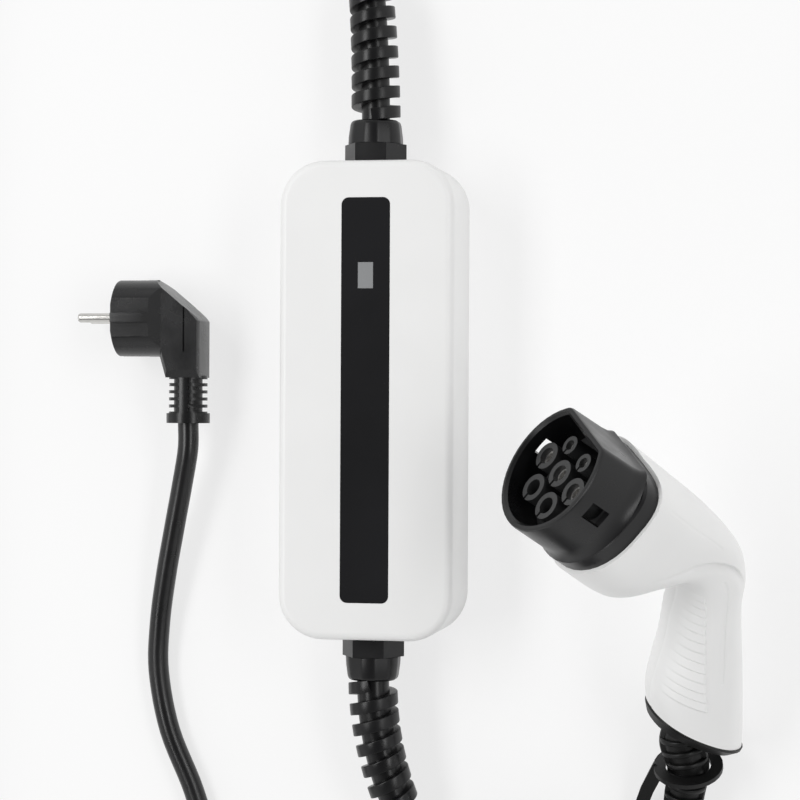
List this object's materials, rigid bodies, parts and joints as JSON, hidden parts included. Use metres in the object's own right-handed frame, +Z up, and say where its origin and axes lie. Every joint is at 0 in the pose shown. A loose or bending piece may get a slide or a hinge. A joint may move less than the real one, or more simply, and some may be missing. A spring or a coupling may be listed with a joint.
{
  "type": "portable electric-vehicle charger",
  "caption": "Portable vehicle charger: white control box with a black strip, spiral cable glands, right-angle mains plug, Type 2 connector on a pistol handle and a tied coil of cable.",
  "frame": {"origin": "centre of the control box's back face, on the bench", "axes": "X across the box, towards the connector; Y along the box, towards the mains lead's gland; Z up from the bench"},
  "size_m": [0.4087, 0.7224, 0.1582],
  "materials": {
    "white_plastic": "fine moulded grain, satin",
    "black_panel": "high gloss",
    "display_grey": "smoked window",
    "black_plastic": "satin nylon",
    "plug_rubber": "matt overmoulding",
    "grey_plastic": "matt",
    "nickel": "nickel plate",
    "steel": "zinc plate",
    "soft_rubber": "matt",
    "seal_rubber": "matt",
    "cable": "smooth jacket",
    "tie_cloth": "hook-and-loop cloth",
    "board_green": "solder mask",
    "relay_blue": "smooth",
    "sensor_black": "matt",
    "winding_yellow": "taped winding",
    "can_blue": "sleeved can",
    "terminal_green": "smooth"
  },
  "bodies": {
    "root": {"rear_cover": "white_plastic", "front_cover": "white_plastic", "handle_right_shell": "white_plastic", "handle_left_shell": "white_plastic", "front_panel": "black_panel", "display_window": "display_grey", "top_gland_body": "black_plastic", "top_gland_lock_nut": "black_plastic", "top_gland_spiral": "black_plastic", "bottom_gland_body": "black_plastic", "bottom_gland_lock_nut": "black_plastic", "bottom_gland_spiral": "black_plastic", "plug_insert": "black_plastic", "connector_nose": "black_plastic", "display_module": "black_plastic", "plug_body": "plug_rubber", "connector_relief": "plug_rubber", "end_collar": "plug_rubber", "contact_block": "grey_plastic", "cable_clamp": "grey_plastic", "plug_pins": "nickel", "plug_earth_clips": "nickel", "plug_earth_sleeve": "nickel", "power_contacts": "nickel", "signal_contacts": "nickel", "case_screws": "steel", "board_screws": "steel", "handle_screws": "steel", "tether_strap": "soft_rubber", "dust_cap": "soft_rubber", "box_seal": "seal_rubber", "top_gland_seal": "seal_rubber", "bottom_gland_seal": "seal_rubber", "mains_lead": "cable", "vehicle_lead_box_end": "cable", "vehicle_lead_handle_end": "cable", "vehicle_lead_coil": "cable", "coil_ties": "tie_cloth", "control_board": "board_green", "relays": "relay_blue", "leakage_sensor": "sensor_black", "supply_transformer": "winding_yellow", "capacitors": "can_blue", "mains_terminal": "terminal_green", "output_terminal": "terminal_green"}
  },
  "joints": []
}
